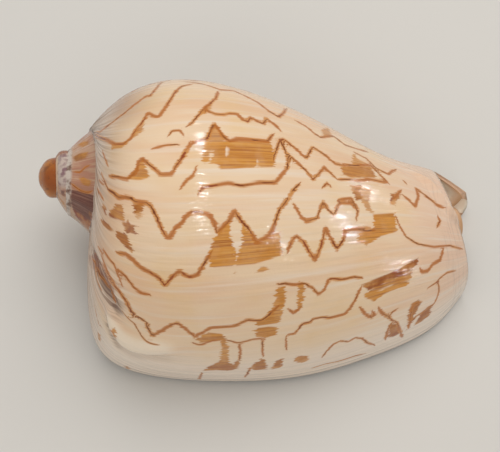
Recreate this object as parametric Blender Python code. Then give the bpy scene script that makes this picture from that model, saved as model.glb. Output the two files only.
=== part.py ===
"""Volute shell: one hollow, right-handed shell, lying on its aperture with the spire towards -X.

The shell is one sheet of growth wound round an axis. A point of it has two numbers: its age in turns,
counted back from the outer lip, and its place along the growth line, 0 at the suture and 1 at the end
of the siphonal canal. The outside, the parietal wall with the columella, and the inside are grids on
those two numbers, welded where a whorl meets the one before it.
"""

import math

import bmesh
import bpy
import numpy as np
from mathutils import Matrix

MM = 0.001

# Winding
LIP_ANGLE = 206.0  # degrees about the axis of the lip edge at the shoulder
SUTURE_LEAD = 41.0  # degrees by which a growth line runs ahead where it meets the suture
LEAD_REACH = 0.09  # how far along the growth line that lead fades
LEAD_POWER = 1.2
GROWTH_LINE_LEAN = (0, 0, -3, 0.5, 6, 9, 11.5, 12.5, 7)  # degrees, from the suture to the canal
WHORL_RATIO = 1.79  # how much the suture's radius grows in a turn

# Suture and nucleus, mm
SUTURE_RADIUS = 17.0  # at SUTURE_TURN
SUTURE_AXIAL = 14.0
SUTURE_TURN = 0.387
SUTURE_POWER = 0.95  # how its distance from the apex grows with its radius
APEX_GAP = 1.5
LIP_TUCK = 3.4  # how far the last suture stays inside its cone, at the lip
LIP_TUCK_TURNS = (0.45, -0.20)
LIP_CLIMB = 1.2  # and how far it climbs back towards the apex there
LIP_CLIMB_TURNS = (0.30, -0.10)
BACK_DIP = 4.6  # how far it first dips away from the apex, on the back
BACK_DIP_TURN = 0.13
BACK_DIP_TURNS = 0.18
NUCLEUS_RADIUS = 7.0
NUCLEUS_LENGTH = 7.0
NUCLEUS_TOP = 0.6
NUCLEUS_SIDE = 0.2  # how far the nucleus sits off the axis
NUCLEUS_START = 2.05  # turns back
NUCLEUS_END = 3.75
NUCLEUS_ARC = 0.93  # part of a quarter circle that its outline takes
NUCLEUS_FADE = (1.3, 2.2)  # turns over which the spire's cone turns into it
NUCLEUS_SIDE_FADE = (26, 4)  # mm along the axis

# Growth lines of the last whorl: (distance along the axis, radius), mm, a quarter of a turn apart
WHORL_LINES = (
    ((20.8, 31), (25, 54), (46, 65), (76, 64), (101, 60), (124, 50.5), (146.5, 39.5), (157, 24.5)),
    ((20.8, 30), (27.5, 46), (46, 53), (75, 50), (100, 41), (121, 31), (137, 22.5), (150, 14)),
    ((19.8, 21), (27, 29), (45, 37.5), (73, 32.5), (97, 23.5), (118, 13), (138, 20), (156.5, 12.5)),
    ((22, 18), (30, 27), (45, 31), (72, 27), (96, 20), (117, 14), (135, 13.5), (156, 10)),
    ((27, 17), (36, 22), (48, 24), (68, 20), (88, 14), (108, 9.5), (130, 7.5), (154, 6.8)),
)
# Growth lines inside the aperture, from the parietal wall down the columella, half a turn apart
COLUMELLA_LINES = (
    ((27, 21), (40, 24.5), (60, 21.5), (85, 14), (112, 8.8), (132, 7.2), (154, 6.8)),
    ((23, 14), (33, 15), (52, 11.5), (80, 7), (112, 5.6), (132, 5.4), (151, 5.8)),
    ((17, 10), (25, 9.5), (40, 6.5), (65, 4.8), (95, 4.0), (115, 4.0), (136, 4.4)),
    ((11, 7), (17, 6), (27, 4.5), (45, 3.4), (62, 2.8), (75, 2.4), (88, 2)),
)
PARIETAL_FADE = (0.70, 1.0)  # turns over which the outside turns into the parietal wall
WHORL_HOLLOW = 0.3  # how hollow the spire's whorls are between sutures
NUCLEUS_BULGE = 1.1  # and how full the nucleus is
BULGE_TURNS = (1.7, 2.4)
BULGE_END_TURNS = 0.9

# Outer lip
SHOULDER_FLARE = 5.5  # mm that the lip turns out at the shoulder
SHOULDER_PLACE = 0.24
SHOULDER_WIDTH = 0.13
LIP_FLARE = 1.2
LIP_ROOT = 0.1  # place below which the lip runs into the whorl before it
FLARE_TURNS = 0.035
FLARE_POWER = 1.3
WALL = 2.4
WALL_RATIO = 1.55  # how much thinner the wall is a turn back
LIP_WALL = 1.4  # extra thickness at the lip
LIP_WALL_TURNS = 0.05
CANAL_THINNING = 0.35
CANAL_THINNING_PLACE = 0.75

# Siphonal canal
NOTCH_CUT = 0.115  # part of the growth line that the notch takes away on the back
NOTCH_TURNS = (0.02, 0.38)  # where it deepens, from the lip
NOTCH_END_TURNS = (0.53, 0.43)  # and where it stops, at the tongue beyond it
NOTCH_PLACE = 0.55
TONGUE = 3.6  # mm by which the canal's far edge stands out
TONGUE_TURN = 0.63
TONGUE_TURNS = 0.085
TONGUE_PLACE = 0.8

# Columellar plaits
PLAIT_PLACES = (88, 98, 108, 118)  # mm along the axis, one turn back from the lip
PLAIT_PITCH = 45  # mm that a plait climbs in a turn
PLAIT_HEIGHT = 1.3
PLAIT_WIDTH = 2.2
PLAIT_START_TURNS = (0.86, 1.0)
PLAIT_END_TURNS = (1.9, 1.5)

# Closing of the inside against the whorl before it, and the free edge
SUTURE_CLOSING = 0.14
CANAL_CLOSING_TURNS = 0.25
CANAL_CLOSING_PLACE = 0.80
RIM_SWELL = 0.42  # how far the free edge stands out, as a share of its thickness
RIM_ROOT = 0.05
RIM_END_TURNS = 0.08
NORMAL_STEP = 0.004

# Pose, degrees
AXIS_TILT = 10.3
AXIS_HEADING = -2.3
AXIS_ROLL = 0.0

# Grid
SUTURE_PLACE = 0.16  # place on an older whorl where the younger one is joined
SUTURE_WALL_PLACE = 0.18  # and where the younger one's inside starts
RINGS_PER_TURN = 32
CAVITY_TURNS = 35 / 32  # how far back the hollow goes
CANAL_TURNS = 23 / 32  # how far back the canal's edge is open
PLACES = np.concatenate(
    [
        np.linspace(0, SUTURE_PLACE, 5),
        np.linspace(SUTURE_WALL_PLACE, 0.52, 10),
        np.linspace(0.54, 0.84, 16),
        np.linspace(0.86, 1, 6),
    ]
)
SUTURE_STEP = 4  # number of SUTURE_PLACE in PLACES
RIM_STEPS = 3
WELD = 0.00002

SHELL_COLOUR = (0.83, 0.66, 0.48, 1)


def smooth(start, end, x):
    """0 up to start, 1 from end on, and eased between them. start may be the larger."""
    y = np.clip((x - start) / (end - start), 0, 1)
    return y * y * (3 - 2 * y)


def hump(x):
    """1 at 0, falling to almost nothing by 2 on either side."""
    return np.exp(-x * x)


def spline(keys, place):
    """Uniform cubic B-spline through both ends; keys lie 1 apart, counted on the first axis."""
    k = np.asarray(keys, float)
    k = np.concatenate([[2 * k[0] - k[1]], k, [2 * k[-1] - k[-2]]])
    place = np.clip(np.asarray(place, float), 0, len(k) - 3)
    i = np.minimum(np.floor(place).astype(int), len(k) - 4)
    f = (place - i).reshape(place.shape + (1,) * (k.ndim - 1))
    return (
        (1 - f) ** 3 * k[i]
        + (3 * f**3 - 6 * f**2 + 4) * k[i + 1]
        + (-3 * f**3 + 3 * f**2 + 3 * f + 1) * k[i + 2]
        + f**3 * k[i + 3]
    ) / 6


def spline_row(nets, place):
    """The same curve where each point has a net of its own: nets is (points, keys, 2)."""
    k = np.concatenate([2 * nets[:, :1] - nets[:, 1:2], nets, 2 * nets[:, -1:] - nets[:, -2:-1]], 1)
    place = np.clip(place, 0, k.shape[1] - 3)
    i = np.minimum(np.floor(place).astype(int), k.shape[1] - 4)
    f = (place - i)[:, None]
    row = np.arange(len(k))
    return (
        (1 - f) ** 3 * k[row, i]
        + (3 * f**3 - 6 * f**2 + 4) * k[row, i + 1]
        + (-3 * f**3 + 3 * f**2 + 3 * f + 1) * k[row, i + 2]
        + f**3 * k[row, i + 3]
    ) / 6


def suture(turn):
    """(distance along the axis, radius) of the suture."""
    growth = WHORL_RATIO ** (SUTURE_TURN - turn)
    radius = SUTURE_RADIUS * growth - LIP_TUCK * smooth(*LIP_TUCK_TURNS, turn)
    axial = APEX_GAP + SUTURE_AXIAL * growth**SUTURE_POWER
    axial += BACK_DIP * hump((turn - BACK_DIP_TURN) / BACK_DIP_TURNS)
    axial -= LIP_CLIMB * smooth(*LIP_CLIMB_TURNS, turn)
    done = np.clip((turn - NUCLEUS_START) / (NUCLEUS_END - NUCLEUS_START), 0, 1)
    arc = NUCLEUS_ARC * math.pi / 2 * done
    nucleus = smooth(*NUCLEUS_FADE, turn)
    radius = radius * (1 - nucleus) + NUCLEUS_RADIUS * np.cos(arc) * nucleus
    axial = axial * (1 - nucleus) + (NUCLEUS_TOP + NUCLEUS_LENGTH * (1 - np.sin(arc))) * nucleus
    return np.stack([axial, radius], -1)


def flare(turn, place):
    """How far the outer lip turns out."""
    shape = SHOULDER_FLARE * hump((place - SHOULDER_PLACE) / SHOULDER_WIDTH) + LIP_FLARE
    return shape * smooth(0, LIP_ROOT, place) * np.exp(-((np.abs(turn) / FLARE_TURNS) ** FLARE_POWER))


def notch(turn, place):
    """How far the siphonal notch draws the growth line back."""
    depth = NOTCH_CUT * smooth(*NOTCH_TURNS, turn) * smooth(*NOTCH_END_TURNS, turn)
    return depth * smooth(NOTCH_PLACE, 1, place)


def tongue(turn, place):
    """How far the edge beyond the notch stands out along the axis."""
    return TONGUE * hump((turn - TONGUE_TURN) / TONGUE_TURNS) * smooth(TONGUE_PLACE, 1, place)


def plaits(turn, axial):
    total = 0
    for start in PLAIT_PLACES:
        centre = start - PLAIT_PITCH * (turn - 1)
        total = total + PLAIT_HEIGHT * hump((axial - centre) / (PLAIT_WIDTH / 2))
    return total * smooth(*PLAIT_START_TURNS, turn) * smooth(*PLAIT_END_TURNS, turn)


def outer_line(turn, place):
    nets = spline(WHORL_LINES, np.clip(turn, 0, 1) * (len(WHORL_LINES) - 1))
    nets = np.concatenate([suture(turn)[:, None], nets], 1)
    line = spline_row(nets, (place - notch(turn, place)) * (nets.shape[1] - 1))
    line[:, 0] += tongue(turn, place)
    line[:, 1] += flare(turn, place)
    return line


def inner_line(turn, place):
    """Between two sutures up to SUTURE_PLACE, and past it the wall that the younger whorl grew over."""
    older, younger = suture(turn), suture(turn - 1)
    q = np.clip(place / SUTURE_PLACE, 0, 1)[:, None]
    strip = older + (younger - older) * q
    bulge = (NUCLEUS_BULGE + WHORL_HOLLOW) * smooth(*BULGE_TURNS, turn) - WHORL_HOLLOW
    bulge *= smooth(NUCLEUS_END + 1, NUCLEUS_END - BULGE_END_TURNS, turn)
    out = (younger - older)[:, ::-1] * (-1, 1)
    out /= np.maximum(np.linalg.norm(out, axis=1), 0.001)[:, None]
    strip += out * (bulge * np.sin(np.pi * q[:, 0]))[:, None]
    nets = spline(COLUMELLA_LINES, np.clip(turn - 1, 0, None) * 2)
    nets = np.concatenate([younger[:, None], nets], 1)
    past = np.clip((place - SUTURE_PLACE) / (1 - SUTURE_PLACE), 0, 1)
    wall = spline_row(nets, past * (nets.shape[1] - 1))
    wall[:, 1] += plaits(turn, wall[:, 0])
    return np.where((place <= SUTURE_PLACE)[:, None], strip, wall)


def angle(turn, place):
    """Degrees about the axis."""

    def lead(x):
        lean = spline(GROWTH_LINE_LEAN, x * (len(GROWTH_LINE_LEAN) - 1))
        return SUTURE_LEAD * np.exp(-((x / LEAD_REACH) ** LEAD_POWER)) + lean

    past = np.clip((place - SUTURE_PLACE) / (1 - SUTURE_PLACE), 0, 1)
    inner = np.where(place <= SUTURE_PLACE, SUTURE_LEAD, lead(past))
    mix = smooth(*PARIETAL_FADE, turn)
    return LIP_ANGLE - 360 * turn - lead(place) * (1 - mix) - inner * mix


def surface(turn, place):
    """Points of the growth sheet, mm, with the axis along X and the apex at the origin."""
    mix = smooth(*PARIETAL_FADE, turn)[:, None]
    line = outer_line(turn, place) * (1 - mix) + inner_line(turn, place) * mix
    around = np.radians(angle(turn, place))
    side = line[:, 1] * np.cos(around) - NUCLEUS_SIDE * smooth(*NUCLEUS_SIDE_FADE, line[:, 0])
    return np.stack([line[:, 0], side, line[:, 1] * np.sin(around)], -1)


def wall_thickness(turn, place):
    lip = LIP_WALL * np.exp(-turn / LIP_WALL_TURNS)
    canal = 1 - CANAL_THINNING * smooth(CANAL_THINNING_PLACE, 1, place)
    return (WALL + lip) * canal / WALL_RATIO ** np.clip(turn, 0, None)


def inside(turn, place):
    """Points of the inner face: the sheet set in by its thickness, and closed at both ends."""

    def set_in(t, s):
        lower, upper = np.clip(s - NORMAL_STEP, 0, 1), np.clip(s + NORMAL_STEP, 0, 1)
        along = surface(t, upper) - surface(t, lower)
        around = surface(t - NORMAL_STEP, s) - surface(t + NORMAL_STEP, s)
        normal = np.cross(around, along)
        normal /= np.linalg.norm(normal, axis=1)[:, None]
        return surface(t, s) - normal * wall_thickness(t, s)[:, None]

    points = set_in(turn, place)
    at_suture = surface(turn + 1, np.full_like(place, SUTURE_WALL_PLACE))
    at_canal = surface(turn + 1, np.ones_like(place))
    points += (at_suture - set_in(turn, 0 * place)) * smooth(SUTURE_CLOSING, 0, place)[:, None]
    closing = smooth(CANAL_TURNS - CANAL_CLOSING_TURNS, CANAL_TURNS, turn)
    closing *= smooth(CANAL_CLOSING_PLACE, 1, place)
    points += (at_canal - set_in(turn, np.ones_like(place))) * closing[:, None]
    return points


def rim_path():
    """(turn, place) along the free edge: down the outer lip, then back along the canal."""
    lip = [(0.0, place) for place in PLACES]
    steps = round(CANAL_TURNS * RINGS_PER_TURN)
    return np.array(lip + [(i / RINGS_PER_TURN, 1.0) for i in range(1, steps + 1)])


def rim(path, across):
    """Points of the free edge, rounded from its outer face to its inner one."""
    outer, inner = surface(*path.T), inside(*path.T)
    along = np.gradient(outer, axis=0)
    out = np.cross(along, inner - outer)
    out /= np.linalg.norm(out, axis=1)[:, None]
    thick = np.linalg.norm(inner - outer, axis=1)[:, None]
    ends = smooth(0, RIM_ROOT, path[:, 1])
    ends *= smooth(CANAL_TURNS, CANAL_TURNS - RIM_END_TURNS, path[:, 0])
    swell = RIM_SWELL * np.sin(np.pi * across)[:, None] * thick * ends[:, None]
    across = across[:, None]
    return outer * (1 - across) + inner * across + out * swell


def add_grid(bm, columns, rows, points_of):
    """A grid whose point (column, row) goes where points_of puts it; both are counted from 0."""
    made = bmesh.ops.create_grid(bm, x_segments=columns, y_segments=rows, size=1.0)
    verts = made["verts"]
    column = np.array([round((v.co.x + 1) / 2 * columns) for v in verts])
    row = np.array([round((v.co.y + 1) / 2 * rows) for v in verts])
    for vert, point in zip(verts, points_of(column, row)):
        vert.co = point * MM
    return dict(zip(zip(column, row), verts))


def add_sheets(bm):
    """The growth sheet's faces, all that show and none of those where two whorls are one."""
    last = len(PLACES) - 1
    wall_steps = last - SUTURE_STEP - 1
    spire_rings = round(NUCLEUS_END * RINGS_PER_TURN)
    cavity_rings = round(CAVITY_TURNS * RINGS_PER_TURN)
    path = rim_path()

    def last_whorl(ring, row):
        return surface(ring / RINGS_PER_TURN, PLACES[row])

    def spire(ring, row):
        return surface(1 + ring / RINGS_PER_TURN, PLACES[row])

    def columella(ring, row):
        return surface(1 + ring / RINGS_PER_TURN, PLACES[row + SUTURE_STEP + 1])

    def cavity(ring, row):
        return inside(ring / RINGS_PER_TURN, PLACES[row])

    def free_edge(step, row):
        return rim(path[step], row / RIM_STEPS)

    whorl = add_grid(bm, RINGS_PER_TURN, last, last_whorl)
    lip_root = [whorl[RINGS_PER_TURN, SUTURE_STEP], whorl[RINGS_PER_TURN, SUTURE_STEP + 1]]
    bmesh.ops.subdivide_edges(bm, edges=[bm.edges.get(lip_root)], cuts=RIM_STEPS - 1)
    add_grid(bm, spire_rings, SUTURE_STEP, spire)
    add_grid(bm, cavity_rings, wall_steps, columella)
    add_grid(bm, cavity_rings, last, cavity)
    add_grid(bm, len(path) - 1, RIM_STEPS, free_edge)
    bmesh.ops.remove_doubles(bm, verts=bm.verts, dist=WELD)
    bmesh.ops.dissolve_degenerate(bm, edges=bm.edges, dist=WELD)


def close_ends(bm):
    """Fills the three loops left: the apex, the columella's tip and the deep end of the hollow."""
    ends = bmesh.ops.holes_fill(bm, edges=[e for e in bm.edges if e.is_boundary], sides=0)["faces"]
    ends.sort(key=lambda face: len(face.verts))
    bmesh.ops.poke(bm, faces=ends[:2])
    bmesh.ops.triangulate(bm, faces=ends[2:], ngon_method="EAR_CLIP")
    bmesh.ops.recalc_face_normals(bm, faces=bm.faces)
    if bm.calc_volume(signed=True) < 0:
        bmesh.ops.reverse_faces(bm, faces=bm.faces)


def lay_down(bm):
    """Turns the shell from its axis along X to how it lies, with the origin under its middle."""
    turn = (
        Matrix.Rotation(math.radians(AXIS_HEADING), 3, "Z")
        @ Matrix.Rotation(math.radians(AXIS_TILT), 3, "Y")
        @ Matrix.Rotation(math.radians(AXIS_ROLL), 3, "X")
    )
    bmesh.ops.rotate(bm, verts=bm.verts, matrix=turn)
    points = np.array([v.co for v in bm.verts])
    low, high = points.min(axis=0), points.max(axis=0)
    middle = (low + high) / 2
    bmesh.ops.translate(bm, verts=bm.verts, vec=(-middle[0], -middle[1], -low[2]))


def glazed_shell():
    material = bpy.data.materials.new("glazed_shell")
    material.use_nodes = True
    shader = material.node_tree.nodes["Principled BSDF"]
    shader.inputs["Base Color"].default_value = SHELL_COLOUR
    shader.inputs["Roughness"].default_value = 0.3
    shader.inputs["Metallic"].default_value = 0.0
    return material


def main():
    for item in list(bpy.data.objects):
        bpy.data.objects.remove(item, do_unlink=True)
    bm = bmesh.new()
    add_sheets(bm)
    close_ends(bm)
    lay_down(bm)
    mesh = bpy.data.meshes.new("volute_shell")
    bm.to_mesh(mesh)
    bm.free()
    mesh.shade_smooth()
    mesh.materials.append(glazed_shell())
    shell = bpy.data.objects.new("volute_shell", mesh)
    bpy.context.scene.collection.objects.link(shell)


main()
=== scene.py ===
import math
import random

import bmesh
import bpy
import numpy as np
from mathutils import Matrix, Vector
from mathutils.kdtree import KDTree


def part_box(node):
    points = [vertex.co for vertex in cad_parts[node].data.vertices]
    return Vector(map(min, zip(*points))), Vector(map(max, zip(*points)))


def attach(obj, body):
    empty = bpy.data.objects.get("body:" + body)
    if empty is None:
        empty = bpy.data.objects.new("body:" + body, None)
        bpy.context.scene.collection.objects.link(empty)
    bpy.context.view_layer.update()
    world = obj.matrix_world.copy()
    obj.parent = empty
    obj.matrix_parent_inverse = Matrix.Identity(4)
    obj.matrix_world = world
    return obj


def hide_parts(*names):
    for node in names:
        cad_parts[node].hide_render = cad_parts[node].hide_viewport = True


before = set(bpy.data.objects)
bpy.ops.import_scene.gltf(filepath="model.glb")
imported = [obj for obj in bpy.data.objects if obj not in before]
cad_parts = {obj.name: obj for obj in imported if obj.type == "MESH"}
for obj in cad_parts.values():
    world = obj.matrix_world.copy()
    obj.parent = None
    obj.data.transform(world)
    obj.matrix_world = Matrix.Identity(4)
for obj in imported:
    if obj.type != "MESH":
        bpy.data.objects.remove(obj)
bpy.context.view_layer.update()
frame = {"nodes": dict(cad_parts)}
shellLow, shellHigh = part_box("volute_shell")
mm = 0.001
print("frame loaded:", ", ".join(frame["nodes"]))

# The shell is one sheet of growth wound round an axis. A point of it has a turn, counted back from the
# outer lip, and a place along the growth line, 0 at the suture and 1 at the end of the canal. Lengths are
# in mm, and a pair of turns or places gives where something fades in or out.
growth = {
    "lipAngle": 206.0,  # degrees about the axis
    "sutureLead": 41.0,  # degrees by which the line runs ahead at the suture
    "leadReach": 0.09,
    "leadPower": 1.2,
    "lineLean": (0, 0, -3, 0.5, 6, 9, 11.5, 12.5, 7),  # degrees, from the suture to the canal
    "whorlRatio": 1.79,
    "sutureRadius": 17.0,
    "sutureAxial": 14.0,
    "sutureTurn": 0.387,
    "suturePower": 0.95,
    "apexGap": 1.5,
    "lipTuck": 3.4,
    "lipTuckTurns": (0.45, -0.20),
    "lipClimb": 1.2,
    "lipClimbTurns": (0.30, -0.10),
    "backDip": 4.6,
    "backDipTurn": 0.13,
    "backDipTurns": 0.18,
    "nucleusRadius": 7.0,
    "nucleusLength": 7.0,
    "nucleusTop": 0.6,
    "nucleusSide": 0.2,
    "nucleusStart": 2.05,
    "nucleusEnd": 3.75,
    "nucleusArc": 0.93,
    "nucleusFade": (1.3, 2.2),
    "nucleusSideFade": (26, 4),
    # growth lines of the last whorl, a quarter of a turn apart: (along the axis, radius)
    "whorlLines": (
        ((20.8, 31), (25, 54), (46, 65), (76, 64), (101, 60), (124, 50.5), (146.5, 39.5), (157, 24.5)),
        ((20.8, 30), (27.5, 46), (46, 53), (75, 50), (100, 41), (121, 31), (137, 22.5), (150, 14)),
        ((19.8, 21), (27, 29), (45, 37.5), (73, 32.5), (97, 23.5), (118, 13), (138, 20), (156.5, 12.5)),
        ((22, 18), (30, 27), (45, 31), (72, 27), (96, 20), (117, 14), (135, 13.5), (156, 10)),
        ((27, 17), (36, 22), (48, 24), (68, 20), (88, 14), (108, 9.5), (130, 7.5), (154, 6.8)),
    ),
    # and from the parietal wall down the columella, half a turn apart
    "columellaLines": (
        ((27, 21), (40, 24.5), (60, 21.5), (85, 14), (112, 8.8), (132, 7.2), (154, 6.8)),
        ((23, 14), (33, 15), (52, 11.5), (80, 7), (112, 5.6), (132, 5.4), (151, 5.8)),
        ((17, 10), (25, 9.5), (40, 6.5), (65, 4.8), (95, 4.0), (115, 4.0), (136, 4.4)),
        ((11, 7), (17, 6), (27, 4.5), (45, 3.4), (62, 2.8), (75, 2.4), (88, 2)),
    ),
    "parietalFade": (0.70, 1.0),
    "whorlHollow": 0.3,
    "nucleusBulge": 1.1,
    "bulgeTurns": (1.7, 2.4),
    "bulgeEndTurns": 0.9,
    "shoulderFlare": 5.5,
    "shoulderPlace": 0.24,
    "shoulderWidth": 0.13,
    "lipFlare": 1.2,
    "lipRoot": 0.1,
    "flareTurns": 0.035,
    "flarePower": 1.3,
    "wall": 2.4,
    "wallRatio": 1.55,
    "lipWall": 1.4,
    "lipWallTurns": 0.05,
    "canalThinning": 0.35,
    "canalThinningPlace": 0.75,
    "notchCut": 0.115,
    "notchTurns": (0.02, 0.38),
    "notchEndTurns": (0.53, 0.43),
    "notchPlace": 0.55,
    "tongue": 3.6,
    "tongueTurn": 0.63,
    "tongueTurns": 0.085,
    "tonguePlace": 0.8,
    "plaitPlaces": (88, 98, 108, 118),
    "plaitPitch": 45,
    "plaitHeight": 1.3,
    "plaitWidth": 2.2,
    "plaitStartTurns": (0.86, 1.0),
    "plaitEndTurns": (1.9, 1.5),
    "sutureClosing": 0.14,
    "canalClosingTurns": 0.25,
    "canalClosingPlace": 0.80,
    "rimSwell": 0.42,
    "rimRoot": 0.05,
    "rimEndTurns": 0.08,
    "axisTilt": 10.3,  # degrees, how it lies
    "axisHeading": -2.3,
}


def smooth(start, end, x):  # 0 up to start, 1 from end on
    y = np.clip((x - start) / (end - start), 0, 1)
    return y * y * (3 - 2 * y)


def hump(x):
    return np.exp(-x * x)


def splineWeights(f):
    return (1 - f) ** 3, 3 * f**3 - 6 * f**2 + 4, -3 * f**3 + 3 * f**2 + 3 * f + 1, f**3


def spline(keys, place):  # one net for all points
    k = np.asarray(keys, float)
    k = np.concatenate([[2 * k[0] - k[1]], k, [2 * k[-1] - k[-2]]])
    place = np.clip(np.asarray(place, float), 0, len(k) - 3)
    i = np.minimum(np.floor(place).astype(int), len(k) - 4)
    f = (place - i).reshape(place.shape + (1,) * (k.ndim - 1))
    return sum(w * k[i + j] for j, w in enumerate(splineWeights(f))) / 6


def splineRow(nets, place):  # a net of its own for each point
    k = np.concatenate([2 * nets[:, :1] - nets[:, 1:2], nets, 2 * nets[:, -1:] - nets[:, -2:-1]], 1)
    place = np.clip(place, 0, k.shape[1] - 3)
    i = np.minimum(np.floor(place).astype(int), k.shape[1] - 4)
    f = (place - i)[:, None]
    row = np.arange(len(k))
    return sum(w * k[row, i + j] for j, w in enumerate(splineWeights(f))) / 6


def suture(turn):
    g = growth
    grown = g["whorlRatio"] ** (g["sutureTurn"] - turn)
    radius = g["sutureRadius"] * grown - g["lipTuck"] * smooth(*g["lipTuckTurns"], turn)
    axial = g["apexGap"] + g["sutureAxial"] * grown ** g["suturePower"]
    axial += g["backDip"] * hump((turn - g["backDipTurn"]) / g["backDipTurns"])
    axial -= g["lipClimb"] * smooth(*g["lipClimbTurns"], turn)
    done = np.clip((turn - g["nucleusStart"]) / (g["nucleusEnd"] - g["nucleusStart"]), 0, 1)
    arc = g["nucleusArc"] * math.pi / 2 * done
    nucleus = smooth(*g["nucleusFade"], turn)
    radius = radius * (1 - nucleus) + g["nucleusRadius"] * np.cos(arc) * nucleus
    tip = g["nucleusTop"] + g["nucleusLength"] * (1 - np.sin(arc))
    return np.stack([axial * (1 - nucleus) + tip * nucleus, radius], -1)


def outerLine(turn, place):
    g = growth
    nets = spline(g["whorlLines"], np.clip(turn, 0, 1) * (len(g["whorlLines"]) - 1))
    nets = np.concatenate([suture(turn)[:, None], nets], 1)
    cut = g["notchCut"] * smooth(*g["notchTurns"], turn) * smooth(*g["notchEndTurns"], turn)
    cut = cut * smooth(g["notchPlace"], 1, place)
    line = splineRow(nets, (place - cut) * (nets.shape[1] - 1))
    tongue = g["tongue"] * hump((turn - g["tongueTurn"]) / g["tongueTurns"])
    line[:, 0] += tongue * smooth(g["tonguePlace"], 1, place)
    flare = g["shoulderFlare"] * hump((place - g["shoulderPlace"]) / g["shoulderWidth"]) + g["lipFlare"]
    flare = flare * smooth(0, g["lipRoot"], place)
    line[:, 1] += flare * np.exp(-((np.abs(turn) / g["flareTurns"]) ** g["flarePower"]))
    return line


def innerLine(turn, place):
    g = growth
    older, younger = suture(turn), suture(turn - 1)
    q = np.clip(place / grid["suturePlace"], 0, 1)[:, None]
    strip = older + (younger - older) * q
    bulge = (g["nucleusBulge"] + g["whorlHollow"]) * smooth(*g["bulgeTurns"], turn) - g["whorlHollow"]
    bulge *= smooth(g["nucleusEnd"] + 1, g["nucleusEnd"] - g["bulgeEndTurns"], turn)
    out = (younger - older)[:, ::-1] * (-1, 1)
    out /= np.maximum(np.linalg.norm(out, axis=1), 0.001)[:, None]
    strip += out * (bulge * np.sin(np.pi * q[:, 0]))[:, None]
    nets = spline(g["columellaLines"], np.clip(turn - 1, 0, None) * 2)
    nets = np.concatenate([younger[:, None], nets], 1)
    past = np.clip((place - grid["suturePlace"]) / (1 - grid["suturePlace"]), 0, 1)
    wall = splineRow(nets, past * (nets.shape[1] - 1))
    plaits = 0
    for start in g["plaitPlaces"]:
        centre = start - g["plaitPitch"] * (turn - 1)
        plaits = plaits + g["plaitHeight"] * hump((wall[:, 0] - centre) / (g["plaitWidth"] / 2))
    wall[:, 1] += plaits * smooth(*g["plaitStartTurns"], turn) * smooth(*g["plaitEndTurns"], turn)
    return np.where((place <= grid["suturePlace"])[:, None], strip, wall)


def angle(turn, place):
    g = growth

    def lead(x):
        lean = spline(g["lineLean"], x * (len(g["lineLean"]) - 1))
        return g["sutureLead"] * np.exp(-((x / g["leadReach"]) ** g["leadPower"])) + lean

    past = np.clip((place - grid["suturePlace"]) / (1 - grid["suturePlace"]), 0, 1)
    inner = np.where(place <= grid["suturePlace"], g["sutureLead"], lead(past))
    mix = smooth(*g["parietalFade"], turn)
    return g["lipAngle"] - 360 * turn - lead(place) * (1 - mix) - inner * mix


def surface(turn, place):  # mm, the axis along X and the apex at the origin
    mix = smooth(*growth["parietalFade"], turn)[:, None]
    line = outerLine(turn, place) * (1 - mix) + innerLine(turn, place) * mix
    around = np.radians(angle(turn, place))
    side = line[:, 1] * np.cos(around)
    side = side - growth["nucleusSide"] * smooth(*growth["nucleusSideFade"], line[:, 0])
    return np.stack([line[:, 0], side, line[:, 1] * np.sin(around)], -1)


def normals(turn, place):
    step = grid["normalStep"]
    lower, upper = np.clip(place - step, 0, 1), np.clip(place + step, 0, 1)
    along = surface(turn, upper) - surface(turn, lower)
    around = surface(turn - step, place) - surface(turn + step, place)
    normal = np.cross(around, along)
    return normal / np.maximum(np.linalg.norm(normal, axis=1), 1e-9)[:, None]


def setIn(turn, place):
    g = growth
    thickness = g["wall"] + g["lipWall"] * np.exp(-turn / g["lipWallTurns"])
    thickness = thickness * (1 - g["canalThinning"] * smooth(g["canalThinningPlace"], 1, place))
    thickness = thickness / g["wallRatio"] ** np.clip(turn, 0, None)
    return surface(turn, place) - normals(turn, place) * thickness[:, None]


def inside(turn, place):
    g = growth
    points = setIn(turn, place)
    atSuture = surface(turn + 1, np.full_like(place, grid["wallPlace"]))
    atCanal = surface(turn + 1, np.ones_like(place))
    points += (atSuture - setIn(turn, 0 * place)) * smooth(g["sutureClosing"], 0, place)[:, None]
    closing = smooth(grid["canalTurns"] - g["canalClosingTurns"], grid["canalTurns"], turn)
    closing *= smooth(g["canalClosingPlace"], 1, place)
    points += (atCanal - setIn(turn, np.ones_like(place))) * closing[:, None]
    return points


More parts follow.
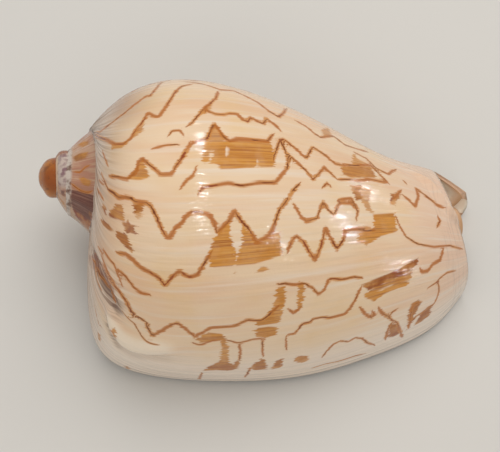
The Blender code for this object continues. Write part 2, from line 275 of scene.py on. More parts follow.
# Relief on the outside, mm
relief = {
    "wrinkle": 0.05,
    "lipWrinkle": 0.05,
    "lipWrinkleBack": (30, 3),  # degrees back from the lip
    "sutureWrinkle": 0.20,
    "sutureWrinklePlace": (0.2, 0.04),
    "wrinklePlace": (0, 0.03),
    "wrinkleBack": (270, 220),
    "wrinkleWaves": ((0.19, 0.1, 0.5), (0.31, 0.6, 0.5), (0.47, 0.3, 0.45), (0.73, 0.8, 0.3)),
    # near the lip: (place, degrees back) along it, reach in degrees, height, and the places where it
    # fades in and out
    "creases": {
        "furrow": (((0.157, 45), (0.207, 48.5), (0.238, 47), (0.262, 44), (0.28, 41)),
                   4.0, -1.5, (0.13, 0.18, 0.27, 0.31)),
        "groove": (((0.262, 27), (0.279, 23.5), (0.297, 20), (0.323, 19.5), (0.359, 22.5), (0.40, 24)),
                   3.8, -1.2, (0.24, 0.28, 0.33, 0.46)),
        "crest": (((0.262, 37), (0.274, 34), (0.291, 31.5), (0.307, 29), (0.330, 28), (0.357, 30),
                   (0.381, 31)), 5.0, 2.4, (0.24, 0.29, 0.35, 0.42)),
    },
    # the ridge round the canal: (degrees back, place)
    "fasciole": ((84, 0.982), (91, 0.968), (99, 0.952), (104, 0.940), (109, 0.928), (115, 0.908),
                 (124, 0.865)),
    "fascioleReach": 0.017,
    "fascioleHeight": 2.2,
    "fascioleStart": (80, 88),
    "fascioleEnd": (124, 108),
    "ribs": 15,
    "ribHeight": 0.5,
    "ribPhase": 1.2,
    "ribStartTurns": (1.0, 1.06),
    "ribEndTurns": (2.1, 1.7),
    "callusPlace": 0.014,
    "callusReach": 0.008,
    "callusHeight": 0.5,
    "callusEdge": (0, 0.006),
    "callusEndTurns": (0.8, 0.7),
    "callusLeast": 0.6,
    "callusSwing": 0.4,
    "callusWaves": ((0.05, 0.2, 0.6), (0.13, 0.7, 0.4)),
}


def wavy(x, waves):  # a sum of sines: (waves per unit, phase, strength)
    return sum(strength * np.sin(2 * np.pi * (x * rate + phase)) for rate, phase, strength in waves)


def creaseAt(turn, place):
    height = 0 * turn
    for path, reach, size, (start, full, last, end) in relief["creases"].values():
        there = hump((turn * 360 - np.interp(place, *zip(*path))) / reach)
        height = height + size * there * smooth(start, full, place) * smooth(end, last, place)
    return height


def reliefAt(turn, place):
    r = relief
    back = turn * 360
    strength = r["wrinkle"] + r["lipWrinkle"] * smooth(*r["lipWrinkleBack"], back)
    strength = strength + r["sutureWrinkle"] * smooth(*r["sutureWrinklePlace"], place)
    height = wavy(back, r["wrinkleWaves"]) * strength * smooth(*r["wrinklePlace"], place)
    height = height * smooth(*r["wrinkleBack"], back) + creaseAt(turn, place)
    ridge = np.interp(back, *zip(*r["fasciole"]))
    onRidge = smooth(*r["fascioleStart"], back) * smooth(*r["fascioleEnd"], back)
    height = height + r["fascioleHeight"] * onRidge * hump((place - ridge) / r["fascioleReach"])
    ribs = 0.5 + 0.5 * np.cos(turn * 2 * np.pi * r["ribs"] + r["ribPhase"])
    strip = np.sin(np.pi * np.clip(place / grid["suturePlace"], 0, 1)) * (place < grid["suturePlace"])
    ribs = ribs * smooth(*r["ribStartTurns"], turn) * smooth(*r["ribEndTurns"], turn)
    height = height + r["ribHeight"] * ribs * strip
    callus = hump((place - r["callusPlace"]) / r["callusReach"]) * smooth(*r["callusEdge"], place)
    callus = callus * (r["callusLeast"] + r["callusSwing"] * wavy(back, r["callusWaves"]))
    return height + r["callusHeight"] * callus * smooth(*r["callusEndTurns"], turn)


def sculpted(turn, place):
    return surface(turn, place) + normals(turn, place) * reliefAt(turn, place)[:, None]


# Grid of the shell's sheets
grid = {
    # (turn, columns) and (place, rows) up to which each spacing holds
    "columns": ((0.09375, 40), (0.46875, 140), (0.71875, 30), (1.0, 30)),
    "rows": ((0.16, 30), (0.18, 3), (0.78, 138), (1.0, 36)),
    "suturePlace": 0.16,
    "wallPlace": 0.18,
    "normalStep": 0.004,
    "cavityTurns": 1.09375,
    "canalTurns": 0.71875,
    "wholeTurns": 6,
    "coarse": 3,  # coarse sheets take every third row
    "rimSteps": 6,
    "weld": 0.00001,
    "slack": 1e-9,  # turns, for comparing them
}


def spacing(spans):
    values = [0.0]
    for end, count in spans:
        values += list(np.linspace(values[-1], end, count + 1)[1:])
    return np.array(values)


columns = spacing(grid["columns"])
rows = spacing(grid["rows"])
coarseRows = rows[:: grid["coarse"]]
turnsOf = np.concatenate([columns[:-1] + whole for whole in range(grid["wholeTurns"])])  # lip to apex
sutureRow = int(np.argmin(abs(coarseRows - grid["suturePlace"])))


def rimPath():
    lip = [(0.0, place) for place in rows]
    canal = [(turn, 1.0) for turn in columns if 0 < turn <= grid["canalTurns"] + grid["slack"]]
    return np.array(lip + canal)


def rimEdge(path, across):
    g = growth
    outer, inner = sculpted(*path.T), inside(*path.T)
    along = np.gradient(outer, axis=0)
    out = np.cross(along, inner - outer)
    out /= np.linalg.norm(out, axis=1)[:, None]
    thick = np.linalg.norm(inner - outer, axis=1)
    ends = smooth(0, g["rimRoot"], path[:, 1])
    ends *= smooth(grid["canalTurns"], grid["canalTurns"] - g["rimEndTurns"], path[:, 0])
    swell = g["rimSwell"] * np.sin(np.pi * across) * thick * ends
    across = across[:, None]
    return outer * (1 - across) + inner * across + out * swell[:, None]


# Lines: half width in mm, then points as degrees back from the lip and thousandths along the growth line
lines = {
    "shoulderA": (0.50, ((112, 32), (115, 94), (119, 137), (123, 191), (127, 233), (132, 264), (137, 292),
        (136, 300), (143, 312), (152, 322), (157, 341))),
    "shoulderB": (0.55, ((108, 30), (110, 83), (111, 132), (110, 176), (108, 214), (108, 245), (110, 262),
        (114, 272), (118, 288), (123, 299), (121, 310), (120, 320), (121, 325), (126, 335), (131, 344),
        (137, 352), (142, 363), (144, 378))),
    "shoulderC": (0.55, ((92, 207), (93, 240), (93, 268), (96, 287), (100, 289), (101, 297), (99, 310),
        (97, 324), (95, 334), (95, 345), (95, 354), (98, 360), (101, 370), (104, 375), (106, 381),
        (107, 392))),
    "streakC": (0.35, ((105, 316), (106, 339), (106, 360))),
    "crownOne": (0.50, ((149, 367), (146, 398), (140, 425), (142, 448), (139, 459), (134, 480), (127, 498),
        (124, 513), (130, 524), (137, 532))),
    "crownTwo": (0.50, ((125, 543), (123, 558), (119, 573), (117, 585), (123, 620), (118, 647), (119, 685),
        (121, 722))),
    "steep": (0.50, ((137, 421), (131, 417), (127, 409), (123, 398), (119, 389), (116, 382), (114, 373))),
    "shortD": (0.55, ((123, 398), (121, 406), (120, 416), (120, 427), (121, 437), (121, 448), (118, 455),
        (117, 463), (120, 467), (118, 477), (117, 487), (121, 491), (118, 503), (115, 512))),
    "plumEdge": (0.55, ((106, 381), (108, 404), (115, 413), (109, 427), (107, 437), (108, 447), (108, 470),
        (108, 491), (112, 500))),
    "zigOne": (0.50, ((100, 499), (110, 511), (110, 517), (106, 536), (102, 552), (109, 565), (106, 587),
        (102, 609), (102, 632))),
    "zigTwo": (0.50, ((110, 511), (104, 518), (100, 535), (96, 553), (93, 563), (99, 585), (95, 606))),
    "zigThree": (0.55, ((104, 518), (101, 522), (97, 521), (94, 512), (92, 506), (91, 503), (91, 481),
        (90, 456), (91, 438), (90, 402), (88, 397))),
    "farOne": (0.45, ((114, 671), (112, 704), (106, 730), (104, 769), (112, 815))),
    "tickOne": (0.40, ((106, 378), (103, 371), (100, 365))),
    "tickTwo": (0.40, ((97, 391), (94, 386), (92, 376), (90, 370))),
    "tickThree": (0.45, ((91, 541), (88, 529), (85, 523))),
    "farTwo": (0.45, ((102, 622), (104, 663), (107, 709), (103, 730), (97, 757))),
    "tinyZig": (0.35, ((110, 343), (112, 348), (112, 354), (112, 361), (110, 367))),
    "archB": (0.45, ((85, 611), (86, 640), (81, 656), (77, 651))),
    "sutureOne": (0.30, ((102, 151), (99, 173), (96, 195))),
    "sutureTwo": (0.30, ((90, 161), (88, 186), (86, 210))),
    "sutureSix": (0.32, ((61, 220), (60, 259), (54, 285))),
    "chevron": (0.40, ((90, 581), (92, 589), (91, 595))),
    "waveF": (0.62, ((86, 207), (86, 231), (85, 249), (86, 267), (86, 283), (85, 291), (85, 302), (85, 314),
        (84, 324), (81, 334), (78, 343), (76, 349), (74, 358), (74, 362), (77, 368), (78, 375), (81, 383),
        (82, 389), (82, 402), (81, 415), (78, 423), (75, 428))),
    "waveFEnd": (0.62, ((75, 428), (79, 444), (82, 448), (78, 460), (76, 469), (73, 478), (71, 483),
        (73, 500), (76, 505), (81, 511), (83, 516), (85, 523), (88, 531))),
    "waveG": (0.60, ((65, 263), (66, 284), (65, 302), (63, 319), (62, 336), (61, 346), (60, 355), (58, 363),
        (60, 369), (63, 380), (63, 384), (62, 390), (61, 399), (62, 409), (66, 417), (69, 423))),
    "waveGEnd": (0.60, ((67, 529), (71, 535), (72, 540), (70, 552), (66, 564), (63, 575), (67, 582),
        (74, 588), (70, 600), (66, 613), (69, 624), (73, 627), (73, 646), (73, 684))),
    "peakG": (0.50, ((83, 533), (79, 544), (77, 554), (78, 572), (81, 576), (84, 582), (81, 591), (79, 603),
        (83, 611), (84, 615), (84, 640), (81, 653))),
    "canalOne": (0.50, ((94, 797), (88, 764))),
    "canalTwo": (0.50, ((91, 799), (88, 818), (85, 831), (93, 859), (99, 863), (97, 882), (95, 899),
        (92, 925), (91, 946))),
    "shortH": (0.45, ((59, 271), (58, 291), (55, 311), (54, 324), (54, 341))),
    "waveI": (0.55, ((57, 216), (54, 247), (51, 277), (49, 294), (45, 311), (44, 322), (43, 335), (42, 344),
        (40, 344), (37, 356), (40, 370), (43, 381), (44, 391), (42, 402), (40, 411), (38, 420), (40, 428),
        (42, 439), (42, 470), (44, 487), (43, 508), (45, 517), (48, 528))),
    "dotOne": (0.55, ((102, 824), (101, 828))),
    "dotNine": (0.35, ((20, 240), (20, 243))),
    "spireOne": (0.28, ((420, 38), (419, 67), (425, 92), (427, 117))),
    "spireTwo": (0.38, ((400, 31), (394, 72), (394, 108), (397, 130))),
    "uTop": (0.45, ((56, 522), (56, 533), (55, 548), (55, 564))),
    "uJoint": (0.45, ((46, 546), (44, 555), (46, 564))),
    "vI": (0.45, ((55, 564), (53, 577), (50, 590), (51, 599), (55, 604), (55, 612), (54, 630), (54, 646),
        (54, 656), (53, 671))),
    "wingLeg": (0.50, ((49, 672), (47, 667), (44, 663), (41, 656), (39, 648), (39, 635), (39, 621), (40, 605),
        (40, 590), (39, 586), (39, 574), (37, 569), (35, 565), (35, 555))),
    "canalRed": (0.55, ((51, 814), (49, 819), (49, 836), (52, 850), (54, 878), (58, 890), (61, 897))),
    "canalGrey": (0.32, ((44, 933), (45, 899), (43, 873), (41, 863), (40, 847), (39, 836))),
    "canalLoop": (0.38, ((40, 866), (35, 869), (30, 864), (26, 854), (26, 840), (24, 826), (23, 810),
        (20, 801))),
    "canalStem": (0.45, ((32, 819), (32, 803), (29, 796), (22, 799), (16, 800))),
    "zigLowA": (0.50, ((40, 677), (36, 690), (33, 707), (34, 712), (36, 705))),
    "zigLowB": (0.50, ((37, 717), (33, 730), (30, 744), (27, 755), (24, 769), (17, 781), (10, 794))),
    "zigLowC": (0.42, ((26, 756), (21, 750), (14, 754))),
    "zigLowD": (0.38, ((33, 761), (32, 750), (30, 743))),
    "archLow": (0.38, ((17, 631), (21, 635), (24, 642), (25, 654), (23, 671), (24, 684), (22, 699), (17, 716),
        (13, 734))),
    "lowEdge": (0.40, ((9, 624), (10, 645), (9, 670), (9, 702), (8, 722))),
    "stemA": (0.32, ((35, 515), (25, 525))),
    "stemB": (0.28, ((34, 552), (27, 559))),
    "underW": (0.38, ((35, 418), (34, 429), (36, 445), (36, 455))),
    "tieW": (0.32, ((36, 464), (34, 482), (35, 501), (35, 518))),
    "tieStem": (0.40, ((34, 482), (30, 488), (24, 491))),
    "legW": (0.38, ((4, 445), (14, 444))),
    "legX": (0.38, ((8, 512), (17, 513))),
    "shortJ": (0.38, ((44, 325), (42, 346))),
    "wornLine": (0.24, ((42, 294), (40, 320), (35, 339), (34, 351), (34, 368))),
    "lipThread": (0.24, ((24, 207), (22, 221), (19, 234))),
    "darkSutA": (0.42, ((79, 140), (80, 170), (80, 191))),
    "darkSutB": (0.30, ((85, 151), (86, 183))),
    "darkSutC": (0.30, ((58, 194), (59, 217))),
    "grooveDark": (0.62, ((53, 214), (52, 248), (51, 279), (48, 302), (43, 317))),
    "grooveTick": (0.42, ((46, 251), (43, 268))),
    "grooveThread": (0.30, ((44, 184), (46, 221), (46, 247))),
    "furrowOne": (0.34, ((46, 160), (50, 190), (52, 215), (50, 245), (46, 268))),
    "furrowTwo": (0.26, ((40, 150), (43, 170), (42, 200), (42, 225))),
    "redZig": (0.50, ((94, 612), (95, 641), (95, 662), (97, 698), (97, 749))),
    "redBar": (0.50, ((73, 635), (73, 651), (72, 674), (72, 694))),
    "canalCurve": (0.30, ((78, 759), (74, 764), (68, 781), (64, 814), (62, 865), (63, 928), (60, 983))),
    "redDots": (0.50, ((82, 911), (79, 913), (75, 894))),
}

# Blotches: strength, darkness, outline
gap = -1  # in place of a darkness: cuts a hole in the blotches before it
blotches = {
    "plum": (1.0, 0.0, ((107, 400), (107, 434), (108, 495), (103, 501), (97, 502), (96, 438), (96, 409),
        (99, 398))),
    "plumPeak": (0.85, 0.1, ((108, 398), (112, 408), (115, 415), (111, 424), (108, 435), (106, 416))),
    "plumGapOne": (0, gap, ((103, 409), (103, 415), (100, 414), (99, 408))),
    "plumGapTwo": (0, gap, ((105, 431), (104, 436), (100, 435), (101, 431))),
    "plumGapThree": (0, gap, ((100, 475), (99, 479), (96, 479), (96, 476))),
    "plumCorner": (0, gap, ((99, 401), (98, 418), (97, 426), (96, 422), (96, 402))),
    "saddleLeft": (1.0, 0.0, ((73, 424), (76, 432), (79, 443), (74, 446), (68, 457), (64, 460), (64, 427),
        (67, 420))),
    "saddleRight": (1.0, 0.0, ((67, 458), (71, 463), (78, 461), (72, 479), (71, 488), (73, 501), (74, 515),
        (66, 522), (64, 486), (64, 460))),
    "shieldTop": (0.95, 0.15, ((101, 620), (106, 709), (99, 719), (96, 646), (97, 625))),
    "shieldSide": (0.75, 0.1, ((92, 639), (92, 670), (91, 697), (85, 683), (79, 696), (81, 676), (87, 662),
        (89, 643))),
    "shield": (1.0, 0.0, ((79, 691), (80, 757), (71, 756), (69, 709), (66, 675), (68, 654), (71, 656),
        (73, 694))),
    "shieldTip": (0.85, 0.0, ((114, 669), (109, 672), (107, 713), (104, 652))),
    "tickLeft": (0.9, 0.1, ((85, 746), (88, 754), (91, 775), (89, 779), (84, 759))),
    "barLeft": (1.0, 0.05, ((55, 520), (55, 532), (50, 537), (44, 537), (41, 535), (41, 502), (43, 500),
        (45, 515), (50, 522))),
    "barRight": (0.95, 0.05, ((56, 554), (55, 564), (50, 566), (46, 565), (44, 559), (49, 556))),
    "fillC": (0.95, 0.0, ((93, 264), (96, 278), (99, 290), (101, 297), (97, 308), (94, 318), (93, 294))),
    "fillA": (0.9, 0.05, ((108, 196), (108, 242), (111, 267), (106, 242), (105, 206))),
    "fillBTip": (0.85, 0.0, ((110, 262), (114, 272), (117, 294), (113, 288), (111, 276))),
    "fillD": (0.85, 0.0, ((121, 389), (125, 401), (126, 411), (122, 407), (119, 395))),
    "flameOne": (1.0, 0.42, ((72, 198), (73, 226), (72, 252), (71, 240), (70, 207), (70, 189))),
    "flameTwo": (0.95, 0.3, ((73, 257), (73, 278), (69, 298), (67, 301), (68, 288), (70, 263), (71, 253))),
    "flameThree": (0.95, 0.4, ((77, 222), (82, 242), (83, 262), (80, 268), (77, 275), (77, 254), (76, 227))),
    "flameFour": (1.0, 0.35, ((84, 286), (85, 307), (83, 310), (81, 308), (81, 293))),
    "redStreak": (1.0, 0.5, ((78, 189), (78, 207), (75, 215), (76, 192))),
    "crownPatch": (0.9, 0.05, ((124, 591), (134, 617), (121, 615), (119, 594))),
    "shoulderSpot": (0.9, 0.1, ((33, 284), (35, 288), (31, 298), (29, 292))),
    "lipSpotOne": (0.9, 0.1, ((12, 232), (13, 244), (8, 250), (7, 240))),
    "lipSpotTwo": (0.9, 0.1, ((5, 318), (6, 326), (2, 330), (2, 320))),
    "spirePatch": (1.0, 1.0, ((391, 20), (393, 72), (393, 155), (368, 158), (345, 152), (342, 110), (349, 60),
        (365, 30))),
    "spireOrange": (0.9, 0.2, ((372, 3), (368, 24), (340, 28), (326, 20), (345, 3))),
    "spireAmber": (0.85, 0.15, ((724, 20), (722, 140), (706, 140), (702, 20))),
    "spireSpot": (0.9, 0.7, ((743, 88), (747, 140), (736, 150), (734, 95))),
    "spireRib": (0, gap, ((411, 20), (403, 55), (399, 78), (395, 72), (399, 48), (406, 18))),
    "spireRed": (0.95, 0.25, ((414, 68), (411, 97), (409, 123), (402, 125), (402, 89), (408, 68))),
    "spireFlameOne": (1.0, 0.35, ((447, 27), (449, 70), (446, 112), (438, 95), (437, 42))),
    "spireFlameTwo": (1.0, 0.3, ((475, 59), (467, 124), (458, 133), (460, 85))),
    "wingDark": (1.0, 0.5, ((50, 671), (51, 694), (52, 726), (53, 755), (55, 781), (57, 810), (54, 806),
        (52, 792), (50, 771), (49, 741), (48, 714), (47, 688))),
    "wingGold": (1.0, 0.0, ((46, 678), (46, 697), (45, 719), (47, 754), (46, 786), (44, 779), (44, 755),
        (43, 723), (41, 707), (44, 684))),
    "wingMid": (1.0, 0.12, ((47, 688), (48, 714), (49, 741), (50, 771), (51, 792), (47, 786), (47, 754),
        (46, 719), (46, 693))),
    "stemPatch": (1.0, 0.3, ((33, 793), (34, 810), (31, 819), (26, 807), (18, 805), (15, 801), (26, 791))),
    "loopPatch": (1.0, 0.4, ((24, 823), (26, 851), (19, 850), (17, 831), (16, 813))),
    "legPatch": (1.0, 0.35, ((26, 750), (23, 769), (15, 784), (14, 770), (16, 755))),
    "streakLow": (1.0, 0.12, ((40, 501), (40, 517), (39, 534), (36, 538), (35, 521), (36, 505))),
    "lowSmallA": (1.0, 0.25, ((22, 581), (21, 599), (17, 607), (16, 596), (18, 583))),
    "lowSmallB": (1.0, 0.3, ((15, 547), (21, 549), (22, 558), (16, 564), (14, 553))),
    "lowSmallC": (1.0, 0.28, ((17, 511), (21, 518), (24, 525), (21, 533), (15, 541), (15, 524))),
    "lowWide": (1.0, 0.28, ((16, 444), (20, 449), (24, 464), (23, 476), (21, 483), (25, 492), (18, 494),
        (16, 481), (17, 463))),
    "goldDot": (0.85, 0.0, ((62, 487), (63, 495), (62, 507), (61, 499), (61, 488))),
    "goldSpeck": (0.6, 0.0, ((62, 458), (62, 462), (61, 462), (61, 458))),
    "underWedge": (1.0, 0.06, ((37, 421), (40, 437), (39, 456), (36, 464), (36, 448), (35, 428))),
    "stemBar": (0.95, 0.05, ((37, 455), (37, 463), (30, 471), (23, 477), (23, 463), (31, 461))),
    "darkStar": (0.85, 0.62, ((76, 265), (78, 281), (77, 289), (77, 304), (76, 297), (74, 302), (74, 287),
        (73, 276), (75, 277))),
    "flameFive": (0.6, 0.0, ((81, 293), (81, 308), (80, 311), (79, 299))),
    "grooveBand": (0.45, 0.85, ((4, 54), (48, 164), (54, 213), (52, 248), (49, 270), (44, 261), (47, 234),
        (45, 192), (18, 102))),
    "grooveGold": (0.7, 0.2, ((52, 278), (50, 294), (46, 311), (46, 303), (49, 285))),
    "redColumn": (1.0, 0.38, ((92, 645), (93, 671), (86, 672), (85, 652), (89, 643))),
    "redPatch": (1.0, 0.62, ((90, 757), (92, 779), (89, 785), (86, 764), (86, 748))),
}

# The sides out of sight carry the same kinds of marking, laid by rule
farSide = {
    "seed": 11,
    "from": 157,  # degrees back
    "to": 262,
    "every": 17,
    "everySwing": 3,
    "lineStart": (90, 150),  # thousandths along the growth line
    "lineEnd": 860,
    "lineStep": (14, 44),
    "lineReach": (2.5, 7.5),
    "halfWidth": 0.5,
    "bands": ((430, 505), (655, 755)),
    "bandStart": (-15, 10),
    "bandEnd": (-10, 20),
    # a band's corners: degrees from the line, share of the way along the band, thousandths beyond that
    "bandShape": ((-2, 0, 0), (6, 0, 8), (7, 0.5, 0), (5, 1, 0), (-3, 1, -6)),
    "bandStrength": 0.95,
    "spireFrom": 500,
    "spireTo": 690,
    "spireWidth": (4, 12),
    "spireGap": (8, 22),
    "spireStart": (30, 70),
    "spireCorners": (35, 140, 125),
    "spireStrength": (0.5, 0.9),
    "spireDarkness": (0, 0.7),
}


def addFarMarkings():
    f = farSide
    rng = random.Random(f["seed"])
    back = f["from"]
    while back < f["to"]:
        points = []
        place, up = rng.uniform(*f["lineStart"]), True
        while place < f["lineEnd"]:
            reach = rng.uniform(*f["lineReach"]) * (1 if up else -1)
            points.append((back + reach, place))
            place += rng.uniform(*f["lineStep"])
            up = not up
        lines["far%d" % back] = (f["halfWidth"], tuple(points))
        for low, high in f["bands"]:
            start, end = low + rng.uniform(*f["bandStart"]), high + rng.uniform(*f["bandEnd"])
            outline = tuple((back + across, start + share * (end - start) + more)
                            for across, share, more in f["bandShape"])
            blotches["far%d-%d" % (back, low)] = (f["bandStrength"], 0.0, outline)
        back += f["every"] + rng.uniform(-f["everySwing"], f["everySwing"])
    back = f["spireFrom"]
    while back < f["spireTo"]:
        width, start = rng.uniform(*f["spireWidth"]), rng.uniform(*f["spireStart"])
        outline = tuple(zip((back, back + width, back + width, back), (start, *f["spireCorners"])))
        look = rng.uniform(*f["spireStrength"]), rng.uniform(*f["spireDarkness"])
        blotches["spire%d" % back] = (*look, outline)
        back += width + rng.uniform(*f["spireGap"])


# How the markings are measured, mm
measure = {
    "sampleStep": 0.3,
    "endWidth": 0.55,  # share of a line's width at its ends
    "endReach": 1.5,
    "lineReach": 8,
    "lineBack": 30,  # degrees, so that a line doesn't show through on the next whorl
    "blotchReach": 10,
    "step": 0.002,
    "noLine": (9.0, 9.0, 0.5, 0.0),  # far from every line
    "noBlotch": (9.0, 0.0, 0.0, 0.0),
}


def markingSamples():
    # points close together along every line: where, which way, how wide and how far back
    places, tangents, widths, backs = [], [], [], []
    for halfWidth, points in lines.values():
        path = np.array(points, float)
        path = np.column_stack([path[:, 0] / 360, path[:, 1] / 1000])
        inSpace = surface(*path.T)
        fine = [path[:1]]
        for a, b, pa, pb in zip(path, path[1:], inSpace, inSpace[1:]):
            count = max(2, math.ceil(np.linalg.norm(pb - pa) / measure["sampleStep"]))
            fine.append(a + (b - a) * np.linspace(0, 1, count + 1)[1:, None])
        fine = np.concatenate(fine)
        at = surface(*fine.T)
        direction = np.gradient(at, axis=0)
        direction /= np.maximum(np.linalg.norm(direction, axis=1), 1e-9)[:, None]
        gone = np.concatenate([[0], np.cumsum(np.linalg.norm(np.diff(at, axis=0), axis=1))])
        toEnd = np.minimum(gone, gone[-1] - gone)
        places.append(at)
        tangents.append(direction)
        thin = measure["endWidth"]
        widths.append(halfWidth * (thin + (1 - thin) * smooth(0, measure["endReach"], toEnd)))
        backs.append(fine[:, 0] * 360)
    return [np.concatenate(x) for x in (places, tangents, widths, backs)]


def paintLines(turn, place, tree, samples):
    # for each point: distance with its side, distance, half width, and how far the line lies across
    # the growth
    at, tangent, width, backs = samples
    here, facing, step = surface(turn, place), normals(turn, place), measure["step"]
    along = surface(turn, np.clip(place + step, 0, 1)) - surface(turn, np.clip(place - step, 0, 1))
    along /= np.maximum(np.linalg.norm(along, axis=1), 1e-9)[:, None]
    marks = np.tile(measure["noLine"], (len(turn), 1))
    for i, point in enumerate(here):
        _, j, distance = tree.find(point)
        if distance > measure["lineReach"] or abs(backs[j] - turn[i] * 360) > measure["lineBack"]:
            continue
        across = np.cross(tangent[j], facing[i])
        marks[i] = (math.copysign(distance, across @ (point - at[j])), distance, width[j], across @ along[i])
    return marks


def paintBlotches(turn, place):
    # for each point: distance outside the nearest blotch, its strength and darkness, and how far its edge
    # lies across the growth
    stains = np.tile(measure["noBlotch"], (len(turn), 1))
    step = measure["step"]
    for strength, dark, outline in blotches.values():
        path = np.array(outline, float) / (360, 1000)
        middle = path.mean(axis=0)
        probe = middle + np.array([[0, 0], [step, 0], [0, step]])
        points = surface(*probe.T)
        scale = np.linalg.norm(points[1:] - points[0], axis=1) / step
        near = np.abs(np.column_stack([turn, place]) - middle) * scale
        index = np.where((near < np.ptp(path, axis=0) * scale / 2 + measure["blotchReach"]).all(axis=1))[0]
        if not len(index):
            continue
        p = (np.column_stack([turn, place])[index] - middle) * scale
        q = (path - middle) * scale
        best, slope = np.full(len(p), 1e9), np.zeros(len(p))
        within = np.zeros(len(p), bool)
        for a, b in zip(q, np.roll(q, -1, axis=0)):
            edge = b - a
            share = np.clip((p - a) @ edge / (edge @ edge), 0, 1)
            off = p - a - share[:, None] * edge
            apart = np.maximum(np.linalg.norm(off, axis=1), 1e-6)
            slope = np.where(apart < best, off[:, 1] / apart, slope)
            best = np.minimum(best, apart)
            crosses = (a[1] > p[:, 1]) != (b[1] > p[:, 1])
            rise = edge[1] if edge[1] else 1e-9
            within ^= crosses & (p[:, 0] < a[0] + (p[:, 1] - a[1]) * edge[0] / rise)
        sign = np.where(within, -1, 1)
        if dark == gap:
            stains[index, 0] = np.maximum(stains[index, 0], -best * sign)
            continue
        closer = best * sign < stains[index, 0]
        tone = np.tile([strength, dark], (len(p), 1))
        stains[index[closer]] = np.column_stack([best * sign, tone, slope * sign])[closer]
    return stains


addFarMarkings()
samples = markingSamples()
tree = KDTree(len(samples[0]))
for number, point in enumerate(samples[0]):
    tree.insert(point, number)
tree.balance()
print("markings laid:", len(lines), "lines and", len(blotches), "blotches")


kinds = {"outside": 0, "columella": 1, "hollow": 2, "rim": 3}
attributes = ("growth", "marks", "stains", "comb")


def addSheet(bm, name, turnsOfColumns, placesOfRows, pointsOf, kind):
    # a grid of points; its corners carry the turn, the place, the kind of surface and the markings
    acrossCount, alongCount = len(turnsOfColumns) - 1, len(placesOfRows) - 1
    made = bmesh.ops.create_grid(bm, x_segments=acrossCount, y_segments=alongCount, size=1.0)
    verts = made["verts"]
    column = np.array([round((v.co.x + 1) / 2 * acrossCount) for v in verts])
    row = np.array([round((v.co.y + 1) / 2 * alongCount) for v in verts])
    turn, place, points = pointsOf(column, row)
    if kinds[kind] == kinds["outside"]:
        marks, stains = paintLines(turn, place, tree, samples), paintBlotches(turn, place)
        creases = creaseAt(turn, place)
    else:
        marks, stains = (np.tile(measure[none], (len(turn), 1)) for none in ("noLine", "noBlotch"))
        creases = 0 * turn
    growthLayer, marksLayer, stainsLayer, combLayer = (bm.loops.layers.float_vector[x] for x in attributes)
    numberOf = {}
    for i, (vert, point) in enumerate(zip(verts, points)):
        vert.co = point * mm
        numberOf[vert] = i
    faces = {face for vert in verts for face in vert.link_faces}
    for face in faces:
        for loop in face.loops:
            i = numberOf[loop.vert]
            loop[growthLayer] = (turn[i] * 360, place[i], kinds[kind])
            loop[marksLayer] = marks[i, :3]
            loop[stainsLayer] = stains[i, :3]
            loop[combLayer] = (marks[i, 3], stains[i, 3], creases[i])
    print("  sheet", name, len(faces), "faces")
    return dict(zip(zip(column, row), verts))


def joinSeam(bm, fine, coarse):
    # cuts a coarse sheet's edge to the finer one beside it, and joins the two point by point
    parts = (len(fine) - 1) // (len(coarse) - 1)
    onto = {}
    for i, (start, end) in enumerate(zip(coarse, coarse[1:])):
        onto[start], last = fine[i * parts], start
        for step in range(1, parts):
            last = bmesh.utils.edge_split(bm.edges.get((last, end)), last, 1 / (parts - step + 1))[1]
            onto[last] = fine[i * parts + step]
    onto[coarse[-1]] = fine[-1]
    bmesh.ops.weld_verts(bm, targetmap=onto)


def buildShell():
    bm = bmesh.new()
    for name in attributes:
        bm.loops.layers.float_vector.new(name)
    spireTurns = np.array([t for t in turnsOf if 1 <= t <= 1 + growth["nucleusEnd"] + grid["slack"]])
    coarseTurns = np.array([t for t in turnsOf if t <= grid["cavityTurns"] + grid["slack"]])
    path = rimPath()

    def onSurface(turns, places):
        def points(column, row):
            turn, place = turns[column], places[row]
            return turn, place, sculpted(turn, place)
        return points

    def onInside(column, row):
        turn, place = coarseTurns[column], coarseRows[row]
        return turn, place, inside(turn, place)

    def onRim(column, row):
        return path[column, 0], path[column, 1], rimEdge(path[column], row / grid["rimSteps"])

    lastColumn = len(columns) - 1
    wallRows = coarseRows[sutureRow + 1 :]
    coarse = grid["coarse"]
    spireRows = coarseRows[: sutureRow + 1]
    rimColumns, rimRows = np.arange(len(path)), np.arange(grid["rimSteps"] + 1)
    whorl = addSheet(bm, "last whorl", columns, rows, onSurface(columns, rows), "outside")
    spire = addSheet(bm, "spire", spireTurns, spireRows, onSurface(spireTurns, coarseRows), "outside")
    wall = addSheet(bm, "columella", coarseTurns, wallRows, onSurface(coarseTurns + 1, wallRows), "columella")
    cavity = addSheet(bm, "cavity", coarseTurns, coarseRows, onInside, "hollow")
    edge = addSheet(bm, "rim", rimColumns, rimRows, onRim, "rim")
    ring = [whorl[lastColumn, i] for i in range(len(rows))]
    joinSeam(bm, ring[: sutureRow * coarse + 1], [spire[0, i] for i in range(sutureRow + 1)])
    joinSeam(bm, ring[(sutureRow + 1) * coarse :], [wall[0, i] for i in range(len(wallRows))])
    joinSeam(bm, [edge[i, grid["rimSteps"]] for i in range(len(rows))],
             [cavity[0, i] for i in range(len(coarseRows))])
    lipRoot = ring[sutureRow * coarse : (sutureRow + 1) * coarse + 1]
    joinSeam(bm, [edge[0, i] for i in range(grid["rimSteps"] + 1)], lipRoot)
    return bm


